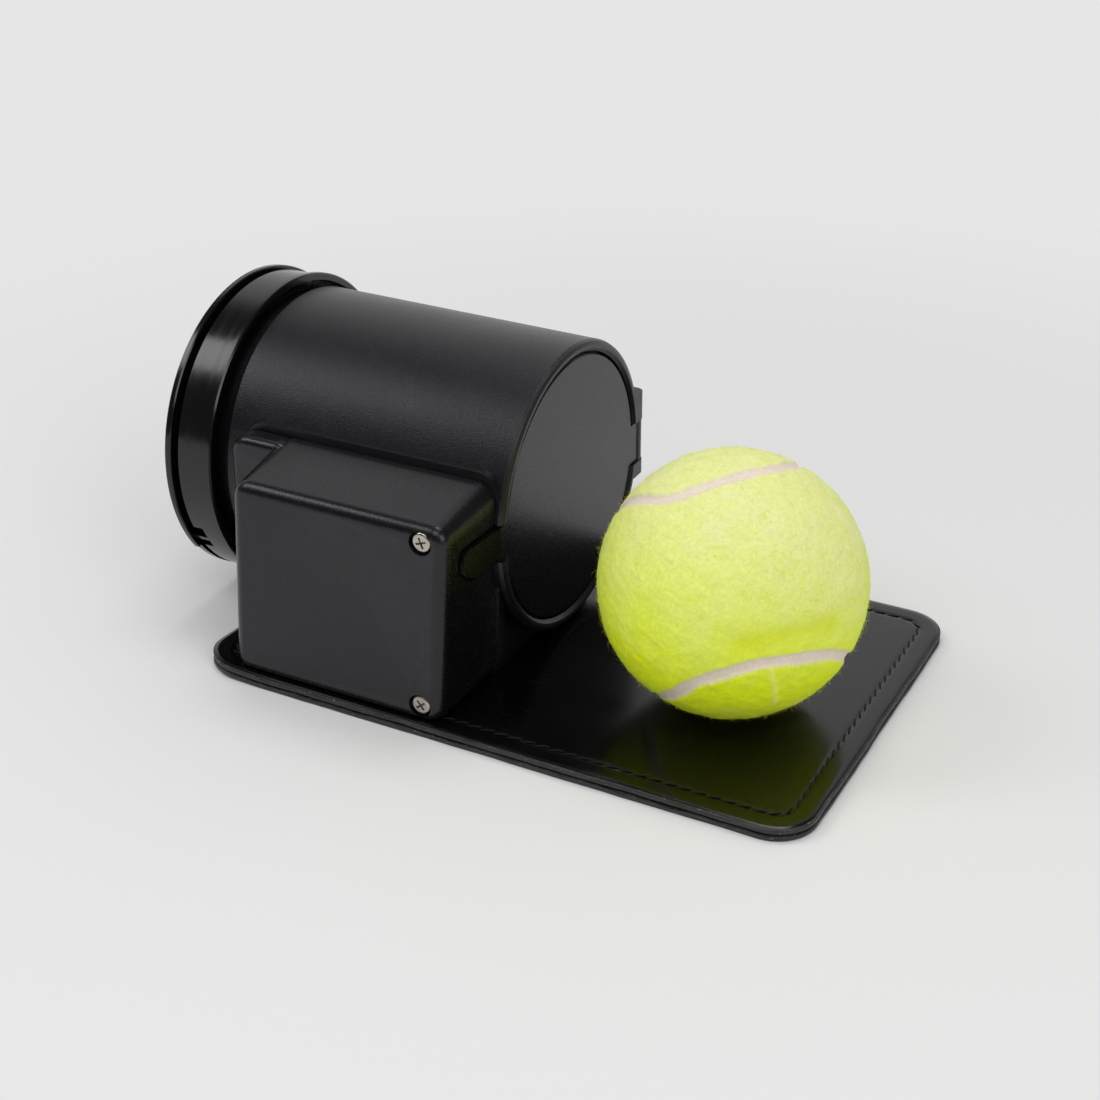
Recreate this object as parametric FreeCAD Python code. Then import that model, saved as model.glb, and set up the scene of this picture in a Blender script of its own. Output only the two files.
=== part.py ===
import FreeCAD, Part
import math
import os

os.makedirs("parts", exist_ok=True)

V = FreeCAD.Vector

# Ball launcher for dogs, standing on a stitched leather mat with its ball in front of the lid.
# Lengths are in millimetres. Most parts are drawn in the launcher's own frame: the tube's axis is X,
# the mouth is the plane x = 0, the lid opens towards +X, and the electronics box is on the -Y side.
# put() then moves them to their place over the middle of the mat's underside.

# Place of the tube's mouth over the mat
MOUTH_X = -5.7
MOUTH_Y = 8.5
MAT_T = 3.6
AXIS_H = 39.9
MOUTH_Z = MAT_T + AXIS_H

# Mat of two plies
MAT_L = 170.0
MAT_W = 111.0
MAT_R = 11.0
PLY_T = 1.8

# Tube
TUBE_R_MOUTH = 39.0
TUBE_R_REAR = 39.8
TUBE_LEN = 83.0
BORE_R = 35.2
NECK_R = 37.9
NECK_END = 96.8
LID_SEAT_R = 35.9
LID_SEAT_DEPTH = 3.6

# Lid and its pin
LID_R = 35.4
LID_BACK = -3.3
LID_FACE = -0.7
TONGUE_T = 2.2
TONGUE_Z0 = -3.4
TONGUE_Z1 = 5.3
TONGUE_BEND_Y = 38.0
TONGUE_SLOPE = 0.107
PIN_X = -2.6
PIN_Y = 40.0
PIN_R = 0.9
LUG_R = 2.6
TAB_R = 2.4
TAB_Z0 = -8.7
TAB_Z1 = 3.0
LUG_TOP = 11.4
LUG_BOTTOM = -13.2

# Rear cap
CAP_FRONT = -85.6
CAP_BAND_R = 42.2
CAP_LIP_R = 43.0
CAP_FLANGE_R = 43.1
CAP_END = -100.6

# Pusher and launch spring
PUSH_FACE = -46.0
PUSH_R = 34.6
SPRING_WIRE_R = 1.0
SPRING_R_REAR = 27.0
SPRING_R_FRONT = 22.0
SPRING_TURNS = 6

# Electronics box
BOX_SPLIT_Y = -37.0
BOX_FLOOR = -39.3
BOX_FRONT_Y = -62.1
BOX_FRONT_TILT = 2.5
BOX_TOP_FRONT = 13.0
BOX_TOP_REAR = 16.4
BOX_LEAN = 0.045
COVER_WALL = 2.0

# Ball
BALL_R = 33.5
BALL_X = 52.6
BALL_Y = -18.1


def put(shape):
    """Move a shape from the launcher's frame to its place over the mat."""
    shape = shape.copy()
    shape.translate(V(MOUTH_X, MOUTH_Y, MOUTH_Z))
    return shape


def save(name, shape):
    """Write one piece, after a check that it is one sound solid or a set of them."""
    print(name, "solids", len(shape.Solids), "valid", shape.isValid(), "volume", round(shape.Volume, 1))
    shape.exportStep("parts/" + name + ".step")


def ring(profile):
    """Turn a closed profile of (x, radius) points about the tube's axis."""
    points = [V(x, r, 0) for x, r in profile]
    wire = Part.makePolygon(points + [points[0]])
    shape = Part.Face(wire).revolve(V(0, 0, 0), V(1, 0, 0), 360)
    return shape


def block(x0, x1, y0, y1, z0, z1):
    """Upright block between two corners."""
    return Part.makeBox(x1 - x0, y1 - y0, z1 - z0, V(x0, y0, z0))


def rod(radius, start, end):
    """Round rod from one point to another."""
    start = V(*start)
    way = V(*end) - start
    return Part.makeCylinder(radius, way.Length, start, way)


def sector(r0, r1, x0, x1, middle, width):
    """Part of a ring about the tube's axis, from r0 to r1, with its middle at an angle from +Y."""
    points = [V(x0, r0, 0), V(x1, r0, 0), V(x1, r1, 0), V(x0, r1, 0), V(x0, r0, 0)]
    shape = Part.Face(Part.makePolygon(points)).revolve(V(0, 0, 0), V(1, 0, 0), width)
    shape.rotate(V(0, 0, 0), V(1, 0, 0), middle - width / 2.0)
    return shape


def rounded_wire(x0, x1, z0, z1, radius, plane):
    """Rounded rectangle seen from the front, on the face plane(x, z), its foot leaning to the rear."""
    def at(x, z):
        return V(x + BOX_LEAN * (z - BOX_TOP_FRONT), plane(x, z), z)
    k = radius * (1 - math.sqrt(0.5))
    edges = []
    corners = [
        ((x0 + radius, z0), (x0 + k, z0 + k), (x0, z0 + radius)),
        ((x0, z1 - radius), (x0 + k, z1 - k), (x0 + radius, z1)),
        ((x1 - radius, z1), (x1 - k, z1 - k), (x1, z1 - radius)),
        ((x1, z0 + radius), (x1 - k, z0 + k), (x1 - radius, z0)),
    ]
    for i in range(4):
        a, m, b = corners[i]
        edges.append(Part.Arc(at(*a), at(*m), at(*b)).toShape())
        c = corners[(i + 1) % 4][0]
        edges.append(Part.LineSegment(at(*b), at(*c)).toShape())
    return Part.Wire(edges)


def arc_mid(a, tangent, b):
    """Middle point of the arc that leaves a along tangent and ends at b."""
    chord = b - a
    along = V(chord)
    along.normalize()
    side = tangent - along * tangent.dot(along)
    size = side.Length
    side.normalize()
    angle = math.atan2(size, tangent.dot(along))
    return (a + b) * 0.5 + side * (chord.Length / 2.0 * math.tan(angle / 2.0))


def biarc(p0, t0, p1, t1):
    """Two arcs that meet smoothly between two points with given directions."""
    v = p1 - p0
    t = t0 + t1
    k = 2.0 * (1.0 - t0.dot(t1))
    d = (-v.dot(t) + math.sqrt(v.dot(t) ** 2 + k * v.dot(v))) / k
    q0 = p0 + t0 * d
    q1 = p1 - t1 * d
    pm = (q0 + q1) * 0.5
    tm = q1 - q0
    tm.normalize()
    first = Part.Arc(p0, arc_mid(p0, t0, pm), pm).toShape()
    second = Part.Arc(pm, arc_mid(pm, tm, p1), p1).toShape()
    return [first, second]


# Tube with its platform, feet and hinge lugs

def tube_wall():
    """Moulded tube, slightly wider to the rear, with a neck for the cap and a seat for the lid."""
    return ring([
        (0.0, LID_SEAT_R + 0.9),
        (0.0, TUBE_R_MOUTH - 1.3),
        (-0.4, TUBE_R_MOUTH - 0.4),
        (-1.3, TUBE_R_MOUTH),
        (-TUBE_LEN + 0.8, TUBE_R_REAR),
        (-TUBE_LEN, TUBE_R_REAR - 0.8),
        (-TUBE_LEN, NECK_R),
        (-NECK_END, NECK_R),
        (-NECK_END, BORE_R),
        (-LID_SEAT_DEPTH, BORE_R),
        (-LID_SEAT_DEPTH, LID_SEAT_R),
        (-0.9, LID_SEAT_R),
    ])


def platform():
    """Flat plate on the tube's side that the electronics box closes against."""
    wire = rounded_wire(-77.4, -1.0, BOX_FLOOR, 18.6, 7.0, lambda x, z: BOX_SPLIT_Y)
    plate = Part.Face(wire).extrude(V(0, 3.0, 0))
    bosses = [rod(3.2, (x, BOX_SPLIT_Y, z), (x, BOX_SPLIT_Y + 9.0, z)) for x, z in screw_places()]
    ribs = [rib(x) for x in (-74.0, -41.0, -8.0)]
    return plate.multiFuse(bosses + ribs)


def rib(x):
    """Upright web between the plate and the tube's underside, down to the mat."""
    points = [
        V(x, BOX_SPLIT_Y + 1.0, BOX_FLOOR),
        V(x, BOX_SPLIT_Y + 1.0, -8.0),
        V(x, -20.0, -30.0),
        V(x, 0.0, -37.5),
        V(x, 0.0, -AXIS_H + 0.05),
        V(x, -34.5, -AXIS_H + 0.05),
        V(x, BOX_SPLIT_Y + 1.0, BOX_FLOOR),
    ]
    return Part.Face(Part.makePolygon(points)).extrude(V(2.4, 0, 0))


def foot():
    """Flat foot under the tube with four screw bosses."""
    base = block(-76.0, -6.0, -19.0, 19.0, -AXIS_H + 0.05, -33.5)
    base = base.makeChamfer(1.0, [e for e in base.Edges if abs(e.BoundBox.ZLength - 6.35) < 0.01])
    return base


def foot_screw_places():
    """Middles of the four screws that hold the foot to the mat."""
    return [(x, y) for x in (-68.0, -14.0) for y in (-14.5, 14.5)]


def screw_places():
    """Middles of the two long screws in the box's right-hand corners."""
    return [(-10.3, 9.0), (-11.3, -35.8)]


def flange_screw_places():
    """Middles of the two short screws in the box's left-hand flange."""
    return [(-73.4, -4.0), (-74.4, -29.0)]


def lug(z0, z1):
    """Hinge lug on the tube's far side, rounded about the pin."""
    a = math.radians(45)
    face = [
        Part.LineSegment(V(0, 33.0, z0), V(0, PIN_Y, z0)).toShape(),
        Part.Arc(V(0, PIN_Y, z0),
                 V(PIN_X + LUG_R * math.cos(a), PIN_Y + LUG_R * math.sin(a), z0),
                 V(PIN_X, PIN_Y + LUG_R, z0)).toShape(),
        Part.LineSegment(V(PIN_X, PIN_Y + LUG_R, z0), V(-6.5, PIN_Y + LUG_R, z0)).toShape(),
        Part.LineSegment(V(-6.5, PIN_Y + LUG_R, z0), V(-13.0, 38.0, z0)).toShape(),
        Part.LineSegment(V(-13.0, 38.0, z0), V(-13.0, 33.0, z0)).toShape(),
        Part.LineSegment(V(-13.0, 33.0, z0), V(0, 33.0, z0)).toShape(),
    ]
    return Part.Face(Part.Wire(face)).extrude(V(0, 0, z1 - z0))


def tube_body():
    """The main moulding in one solid."""
    lugs = [lug(TAB_Z1 + 0.3, LUG_TOP), lug(LUG_BOTTOM, TAB_Z0 - 0.3)]
    body = tube_wall().multiFuse([platform(), foot()] + lugs)
    # keep the bore, the lid's seat and the mouth clear of everything fused on
    body = body.cut(rod(BORE_R, (-110, 0, 0), (5, 0, 0)))
    body = body.cut(rod(LID_SEAT_R, (-LID_SEAT_DEPTH, 0, 0), (5, 0, 0)))
    body = body.cut(ring([
        (0.2, 0.0), (0.2, LID_SEAT_R + 1.1), (0.0, LID_SEAT_R + 0.9), (-0.9, LID_SEAT_R), (-0.9, 0.0),
    ]))
    # slot for the lid's hinge tab, and room for its barrel to turn
    body = body.cut(block(PIN_X - 1.6, 5, 32.0, PIN_Y, TAB_Z0 - 0.3, TAB_Z1 + 0.3))
    body = body.cut(rod(TAB_R + 0.35, (PIN_X, PIN_Y, TAB_Z0 - 0.3), (PIN_X, PIN_Y, TAB_Z1 + 0.3)))
    body = body.cut(rod(PIN_R + 0.02, (PIN_X, PIN_Y, LUG_BOTTOM - 1), (PIN_X, PIN_Y, LUG_TOP - 1.2)))
    # notch in the rim for the latch tongue
    body = body.cut(block(-3.7, 5, -42.0, -30.0, -4.1, 6.0))
    # bayonet segments on the neck
    body = body.fuse(sector(NECK_R - 0.5, 40.4, -92.0, -89.6, 90, 30))
    body = body.fuse(sector(NECK_R - 0.5, 40.4, -92.0, -89.6, 210, 30))
    body = body.fuse(sector(NECK_R - 0.5, 40.4, -92.0, -89.6, 330, 30))
    # pilot holes
    for x, z in screw_places():
        body = body.cut(rod(1.3, (x, BOX_SPLIT_Y - 5, z), (x, BOX_SPLIT_Y + 8.0, z)))
    for x, z in flange_screw_places():
        body = body.cut(rod(1.3, (x, BOX_SPLIT_Y - 5, z), (x, BOX_SPLIT_Y + 2.6, z)))
    for x, y in foot_screw_places():
        body = body.cut(rod(1.3, (x, y, -AXIS_H - 1), (x, y, -AXIS_H + 5.0)))
    return body.removeSplitter()


# Rear cap

def cap_groove_profile():
    """Section of the cap: flange, groove, band with a raised lip, hollow ring and end wall."""
    return [
        (CAP_FRONT, 41.1),
        (CAP_FRONT, CAP_LIP_R - 0.4),
        (CAP_FRONT - 0.4, CAP_LIP_R),
        (CAP_FRONT - 1.6, CAP_LIP_R),
        (CAP_FRONT - 2.0, CAP_BAND_R),
        (-96.6, CAP_BAND_R),
        (-96.9, CAP_BAND_R - 0.3),
        (-96.9, 39.6),
        (-98.6, 39.6),
        (-98.6, CAP_FLANGE_R - 0.3),
        (-98.9, CAP_FLANGE_R),
        (-100.2, CAP_FLANGE_R),
        (CAP_END, CAP_FLANGE_R - 0.4),
        (CAP_END, 36.0),
        (-99.4, 33.0),
        (-99.4, 0.0),
        (-97.4, 0.0),
        (-97.4, 38.2),
        (-95.4, 38.2),
        (-95.4, 41.1),
    ]


def rear_cap():
    """Turned cap with three inner bayonet lugs, a release notch in its band and a grip bar behind."""
    cap = ring(cap_groove_profile())
    for middle in (90, 210, 330):
        cap = cap.fuse(sector(38.4, 41.5, -89.3, -87.2, middle, 30))
    # spring seat: a low ring on the inside of the end wall
    cap = cap.fuse(ring([(-97.5, 29.0), (-95.4, 29.0), (-95.4, 30.6), (-97.5, 30.6)]))
    # release notch, on the box side and below the middle, with its small bar
    cap = cap.cut(sector(40.2, 44.0, -98.7, -93.6, 209, 11.5))
    cap = cap.fuse(sector(39.4, 41.9, -98.8, -93.4, 210.5, 1.9))
    # the flange is lower from the notch on
    cap = cap.cut(sector(42.3, 44.0, -101.0, -98.4, 232, 32))
    # grip bar across the recessed rear face
    bar = block(-100.6, -99.2, -24.0, 24.0, -3.5, 3.5)
    return cap.fuse(bar).removeSplitter()


# Lid

def beside_box(outline, outer, inner):
    """Slab that follows the box's leaning side, between two depths from the tongue's outer face."""
    points = [V(LID_FACE + TONGUE_SLOPE * (y + TONGUE_BEND_Y) + outer, y, z) for y, z in outline]
    face = Part.Face(Part.makePolygon(points + [points[0]]))
    return face.extrude(V(inner - outer, 0, 0))


def tongue():
    """Latch tongue: level with the lid at its root, then along the box's side to its clipped end."""
    root = block(LID_BACK, LID_FACE, -TONGUE_BEND_Y - 0.2, -30.0, TONGUE_Z0, TONGUE_Z1)
    outline = [
        (-TONGUE_BEND_Y, TONGUE_Z0), (-43.0, -3.8), (-47.9, -4.0), (-52.4, -1.9), (-53.5, -0.5),
        (-53.5, 2.2), (-52.8, 4.1), (-51.0, 5.0), (-TONGUE_BEND_Y, TONGUE_Z1),
    ]
    return root.fuse(beside_box(outline, 0.0, -TONGUE_T))


def striker():
    """Hooked striker on the back of the tongue, with the notch that the bolt enters from below."""
    outline = [
        (LID_BACK + 0.3, -0.2), (-11.2, -0.2), (-11.2, 2.7), (-14.0, 2.7), (-14.0, -0.2),
        (-14.6, -0.2), (-15.4, 1.2), (-15.4, 3.2), (-14.2, 4.4), (LID_BACK + 0.3, 4.4),
    ]
    points = [V(x, -50.5, z) for x, z in outline]
    return Part.Face(Part.makePolygon(points + [points[0]])).extrude(V(0, 3.0, 0))


def lid():
    """Round lid with a bevelled edge, hinge tab and latch tongue in one moulding."""
    disc = ring([
        (LID_BACK, 0.0), (LID_BACK, LID_R - 0.6), (LID_BACK + 0.6, LID_R),
        (LID_FACE - 0.5, LID_R), (LID_FACE, LID_R - 0.5), (LID_FACE, 0.0),
    ])
    # stiffening ring on the back, clear of the bore
    rim = ring([(-7.5, 30.6), (LID_BACK + 0.2, 30.6), (LID_BACK + 0.2, 32.4), (-7.5, 32.4)])
    barrel = rod(TAB_R, (PIN_X, PIN_Y, TAB_Z0), (PIN_X, PIN_Y, TAB_Z1))
    web = block(LID_BACK, LID_FACE, 32.0, PIN_Y, TAB_Z0, TAB_Z1)
    shape = disc.multiFuse([rim, barrel, web, tongue(), striker()])
    shape = shape.cut(rod(PIN_R + 0.05, (PIN_X, PIN_Y, TAB_Z0 - 1), (PIN_X, PIN_Y, TAB_Z1 + 1)))
    return shape.removeSplitter()


def hinge_pin():
    """Straight steel pin, pressed in from below."""
    pin = rod(PIN_R, (PIN_X, PIN_Y, LUG_BOTTOM + 0.3), (PIN_X, PIN_Y, LUG_TOP - 1.4))
    return pin.makeChamfer(0.25, pin.Edges[0:1] + pin.Edges[2:3])


# Pusher and launch spring

def pusher():
    """Cup-shaped pusher: a dished plate with a skirt that runs in the bore."""
    cup = ring([
        (PUSH_FACE - 3.6, 0.0), (PUSH_FACE - 3.6, 9.0), (PUSH_FACE - 0.6, 17.5), (PUSH_FACE, 19.0),
        (PUSH_FACE, PUSH_R - 0.6), (PUSH_FACE - 0.6, PUSH_R), (PUSH_FACE - 15.0, PUSH_R),
        (PUSH_FACE - 15.0, PUSH_R - 1.8), (PUSH_FACE - 2.2, PUSH_R - 1.8), (PUSH_FACE - 2.2, 18.4),
        (PUSH_FACE - 5.8, 9.6), (PUSH_FACE - 5.8, 0.0),
    ])
    seat = ring([
        (PUSH_FACE - 2.0, 24.2), (PUSH_FACE - 5.0, 24.2), (PUSH_FACE - 5.0, 25.6),
        (PUSH_FACE - 2.0, 25.6),
    ])
    # relief slots in the skirt
    shape = cup.fuse(seat)
    for angle in range(0, 360, 60):
        shape = shape.cut(sector(PUSH_R - 3.0, PUSH_R + 1.0, PUSH_FACE - 16.0, PUSH_FACE - 7.0, angle, 14))
    return shape.removeSplitter()


def spring_point(turn):
    """Centre of the wire and its direction, at a number of turns from the cap."""
    x0 = -97.4 + 0.3 + SPRING_WIRE_R
    x1 = PUSH_FACE - 2.2 - 0.3 - SPRING_WIRE_R
    f = turn / SPRING_TURNS
    # the end turns are closer together than the middle ones
    end = 0.75
    pitch_mid = (x1 - x0 - 2 * end * 3.2) / (SPRING_TURNS - 2 * end)
    if turn < end:
        x, dx = x0 + 3.2 * turn, 3.2
    elif turn > SPRING_TURNS - end:
        x, dx = x1 - 3.2 * (SPRING_TURNS - turn), 3.2
    else:
        x, dx = x0 + 3.2 * end + pitch_mid * (turn - end), pitch_mid
    radius = SPRING_R_REAR + (SPRING_R_FRONT - SPRING_R_REAR) * f
    dr = (SPRING_R_FRONT - SPRING_R_REAR) / SPRING_TURNS
    a = 2 * math.pi * turn
    point = V(x, radius * math.cos(a), radius * math.sin(a))
    way = V(dx, dr * math.cos(a) - 2 * math.pi * radius * math.sin(a),
            dr * math.sin(a) + 2 * math.pi * radius * math.cos(a))
    way.normalize()
    return point, way


def launch_spring():
    """Conical spring of one unbroken wire, closed up a little at its ends."""
    edges = []
    steps = SPRING_TURNS * 4
    for i in range(steps):
        p0, t0 = spring_point(i / 4.0)
        p1, t1 = spring_point((i + 1) / 4.0)
        edges += biarc(p0, t0, p1, t1)
    path = Part.Wire(edges)
    start, way = spring_point(0)
    section = Part.Wire(Part.makeCircle(SPRING_WIRE_R, start, way))
    pipe = Part.BRepOffsetAPI.MakePipeShell(path)
    pipe.add(section)
    pipe.setTransitionMode(0)
    pipe.build()
    pipe.makeSolid()
    least = least_gap(path)
    print("launch_spring least gap to itself", round(least - 2 * SPRING_WIRE_R, 2), "mm")
    return pipe.shape()


def least_gap(path):
    """Least distance between points of the wire's centre line half a turn or more apart."""
    points = [p for e in path.Edges for p in e.discretize(9)[:-1]]
    per_turn = len(points) // SPRING_TURNS
    best = 1e9
    for i in range(0, len(points), 2):
        for j in range(i + per_turn // 2, len(points), 2):
            best = min(best, points[i].distanceToPoint(points[j]))
    return best


# Electronics box

def front_y(z):
    """Depth of the cover's leaning front face at a height."""
    return BOX_FRONT_Y + (z - BOX_FLOOR) * math.tan(math.radians(BOX_FRONT_TILT))


def cover_outer():
    """Outside of the cover: drafted sides, a leaning front face, rounded edges and a low left flange."""
    rear_y = BOX_SPLIT_Y - 0.2
    under = BOX_FLOOR - 1.5
    a = rounded_wire(-65.4, -3.3, under, BOX_TOP_FRONT, 4.4, lambda x, z: front_y(z))
    b = rounded_wire(-68.0, -2.0, under, BOX_TOP_REAR, 6.4, lambda x, z: rear_y)
    body = Part.makeLoft([a, b], True, True)
    front_edges = [e for e in body.Edges if e.BoundBox.YMax < -58.0]
    body = body.makeFillet(3.3, front_edges)
    flange_wire = rounded_wire(-78.2, -60.0, BOX_FLOOR + 3.0, BOX_TOP_REAR, 4.8, lambda x, z: rear_y)
    flange = Part.Face(flange_wire).extrude(V(0, -5.8, 0))
    edges = [e for e in flange.Edges if e.BoundBox.YMax < rear_y - 5.7]
    flange = flange.makeFillet(2.2, edges)
    # the rounded bottom is trimmed flat, just over the mat
    trim = block(-90.0, 5.0, -70.0, -30.0, BOX_FLOOR - 5.0, BOX_FLOOR)
    return body.cut(trim), flange


def latch_outline(grow):
    """Outline of the sunk place for the tongue in the cover's right side, grown by a gap."""
    return [
        (-30.0, TONGUE_Z0 - 1.6 - grow), (-48.6, -5.0 - grow), (-53.9 - grow, -2.4),
        (-54.2 - grow, 3.0), (-52.6 - grow, 5.7 + grow), (-30.0, TONGUE_Z1 + 0.6 + grow),
    ]


def cover():
    """Cover with 2 mm walls, screw posts, and openings for the striker, button, light and socket."""
    body, flange = cover_outer()
    rear_y = BOX_SPLIT_Y - 0.2
    w = COVER_WALL
    a = rounded_wire(-65.4 + w, -3.3 - w, BOX_FLOOR + w, BOX_TOP_FRONT - w, 3.0,
                     lambda x, z: front_y(z) + w)
    b = rounded_wire(-68.0 + w, -2.0 - w, BOX_FLOOR + w, BOX_TOP_REAR - w, 4.5,
                     lambda x, z: rear_y + 0.5)
    hollow = Part.makeLoft([a, b], True, True)
    pocket = Part.Face(rounded_wire(-78.2 + w, -60.0, BOX_FLOOR + 5.0, BOX_TOP_REAR - w, 3.0,
                                    lambda x, z: rear_y + 0.5)).extrude(V(0, -4.3, 0))
    whole = body.fuse(flange)
    shape = whole.cut(hollow).cut(pocket)
    posts = [rod(3.4, (x, rear_y, z), (x, -57.5, z)) for x, z in screw_places()]
    pads = [rod(3.2, (x, rear_y, z), (x, rear_y - 5.0, z)) for x, z in flange_screw_places()]
    # thicker wall behind the tongue's place
    pads.append(beside_box(latch_outline(1.4), 1.0, -TONGUE_T - 1.9))
    shape = shape.multiFuse([p.common(whole) for p in posts + pads])
    shape = shape.cut(beside_box(latch_outline(0.0), 5.0, -TONGUE_T - 0.4))
    for x, z in screw_places():
        shape = shape.cut(rod(1.6, (x, rear_y + 1, z), (x, -63.0, z)))
        shape = shape.cut(rod(3.1, (x, front_y(z) + 2.0, z), (x, -66.0, z)))
    for x, z in flange_screw_places():
        shape = shape.cut(rod(1.6, (x, rear_y + 1, z), (x, -50.0, z)))
        shape = shape.cut(rod(2.9, (x, rear_y - 4.4, z), (x, -50.0, z)))
    shape = shape.cut(block(-9.0, -2.0, -52.4, -46.2, -1.0, 5.2))
    shape = shape.cut(rod(3.1, (-70.0, -50.0, -4.0), (-60.0, -50.0, -4.0)))
    shape = shape.cut(rod(1.3, (-70.0, -50.0, 4.5), (-60.0, -50.0, 4.5)))
    shape = shape.cut(block(-70.0, -60.0, -51.8, -48.2, -24.5, -15.5))
    # the tube's side stands a little way into the box
    bulge = ring([(5.0, 0.0), (5.0, TUBE_R_MOUTH + 0.3), (-110.0, TUBE_R_REAR + 0.5), (-110.0, 0.0)])
    return shape.cut(bulge).removeSplitter()


def screw(radius, head_r, head_h, length, crossed=True):
    """Screw along +Z with its head's top at z = 0: domed head, cross recess and plain shank."""
    head = Part.makeCylinder(head_r, head_h, V(0, 0, -head_h))
    head = head.makeFillet(head_h * 0.55, [e for e in head.Edges if e.BoundBox.ZMin > -0.01])
    shank = Part.makeCylinder(radius, length, V(0, 0, -head_h - length))
    shank = shank.makeChamfer(radius * 0.5, [e for e in shank.Edges if e.BoundBox.ZMax < -head_h - length + 0.01])
    body = head.fuse(shank)
    if crossed:
        arm = head_r * 0.55
        body = body.cut(Part.makeBox(2 * arm, 0.55, 0.9, V(-arm, -0.275, -0.9)))
        body = body.cut(Part.makeBox(0.55, 2 * arm, 0.9, V(-0.275, -arm, -0.9)))
    return body


def facing_front(shape, x, y, z, twist):
    """Turn a screw so that its head faces -Y, and set its head's top at a point."""
    shape = shape.copy()
    shape.rotate(V(0, 0, 0), V(0, 0, 1), twist)
    shape.rotate(V(0, 0, 0), V(1, 0, 0), 90)
    shape.translate(V(x, y, z))
    return shape


def long_screws():
    """Two long screws through the box's right-hand posts into the platform."""
    twists = (20, 38)
    solids = []
    for (x, z), twist in zip(screw_places(), twists):
        solids.append(facing_front(screw(1.25, 2.75, 1.5, 25.0), x, front_y(z) + 0.45, z, twist))
    return Part.makeCompound(solids)


def short_screws():
    """Two short screws through the box's left-hand flange."""
    y = BOX_SPLIT_Y - 0.2 - 5.6
    solids = [facing_front(screw(1.25, 2.4, 1.1, 6.2), x, y, z, 30) for x, z in flange_screw_places()]
    return Part.makeCompound(solids)


def battery():
    """Flat lithium cell with rounded edges and a folded top."""
    cell = block(-62.0, -28.0, -46.6, -40.4, -32.0, 8.0)
    cell = cell.makeFillet(2.2, [e for e in cell.Edges if e.BoundBox.ZLength > 30])
    return cell.fuse(block(-58.0, -32.0, -45.4, -42.0, 7.5, 10.2)).removeSplitter()


def circuit_board():
    """Control board behind the front wall, cut out round the right-hand screw posts."""
    board = block(-63.0, -21.0, -56.2, -54.6, -34.0, 8.0)
    for x, z in ((-60.0, 5.0), (-60.0, -31.0), (-24.0, 5.0), (-24.0, -31.0)):
        board = board.cut(rod(1.2, (x, -60, z), (x, -50, z)))
    return board


def board_chips():
    """Controller, driver and crystal on the board."""
    chips = [
        block(-50.0, -43.0, -54.55, -53.0, -12.0, -5.0),
        block(-38.0, -33.0, -54.55, -53.1, -24.0, -19.0),
        block(-40.0, -36.5, -54.55, -52.6, -6.0, -4.2),
    ]
    return Part.makeCompound(chips)


def radio_module():
    """Receiver for the remote control, on its own small board with a metal can."""
    base = block(-56.0, -42.0, -54.55, -53.7, -2.0, 7.0)
    can = block(-55.0, -45.0, -53.75, -51.8, -1.0, 6.0)
    return base.fuse(can).removeSplitter()


def power_switch():
    """Side-acting switch on the board's left edge, behind the button."""
    case = block(-62.0, -57.6, -54.55, -47.0, -7.5, -0.5)
    plunger = rod(1.2, (-61.9, -50.0, -4.0), (-62.6, -50.0, -4.0))
    return case.fuse(plunger).removeSplitter()


def power_button():
    """Round button in the cover's left wall, with a flange that keeps it in."""
    stem = rod(3.0, (-69.0, -50.0, -4.0), (-64.0, -50.0, -4.0))
    stem = stem.makeFillet(0.6, [e for e in stem.Edges if e.BoundBox.XMax < -68.9])
    return stem.fuse(rod(4.2, (-64.6, -50.0, -4.0), (-63.5, -50.0, -4.0))).removeSplitter()


def status_light():
    """Clear light guide beside the button."""
    guide = rod(1.2, (-68.1, -50.0, 4.5), (-59.0, -50.0, 4.5))
    guide = guide.makeFillet(0.5, [e for e in guide.Edges if e.BoundBox.XMax < -68.0])
    return guide.fuse(rod(2.0, (-64.4, -50.0, 4.5), (-63.4, -50.0, 4.5))).removeSplitter()


def charge_socket():
    """Small charging socket of bent sheet behind the plugged slot."""
    shell = block(-64.6, -58.8, -52.0, -48.6, -24.2, -15.8)
    shell = shell.cut(block(-65.0, -59.4, -51.6, -49.0, -23.8, -16.2))
    base = block(-64.0, -58.8, -54.55, -52.0, -23.0, -17.0)
    leaf = block(-64.2, -59.0, -50.7, -49.9, -22.4, -17.6)
    return shell.multiFuse([base, leaf]).removeSplitter()


def socket_plug():
    """Soft plug over the socket: a flap outside and a lug in the slot."""
    flap = block(-70.1, -68.8, -53.0, -47.0, -26.0, -14.0)
    flap = flap.makeFillet(2.4, [e for e in flap.Edges if e.BoundBox.XLength > 1.2])
    lug_part = block(-68.9, -65.0, -51.6, -48.4, -24.2, -15.8)
    return flap.fuse(lug_part).removeSplitter()


def solenoid():
    """Two-position solenoid: bent steel frame, coil and a bore for the bolt."""
    frame = block(-17.6, -7.6, -54.0, -44.0, -29.0, -11.0)
    frame = frame.cut(block(-16.4, -8.8, -55.0, -43.0, -27.8, -12.2))
    coil = rod(3.9, (-12.6, -49.0, -27.9), (-12.6, -49.0, -12.1))
    body = frame.fuse(coil)
    return body.cut(rod(1.85, (-12.6, -49.0, -23.0), (-12.6, -49.0, -10.0))).removeSplitter()


def latch_bolt():
    """Solenoid's plunger with a collar and the flat bolt that enters the striker."""
    stem = rod(1.8, (-12.6, -49.0, -20.0), (-12.6, -49.0, -5.6))
    collar = rod(3.4, (-12.6, -49.0, -6.6), (-12.6, -49.0, -5.4))
    tip = block(-13.7, -11.5, -50.3, -47.7, -5.6, -0.9)
    return stem.multiFuse([collar, tip]).removeSplitter()


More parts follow.
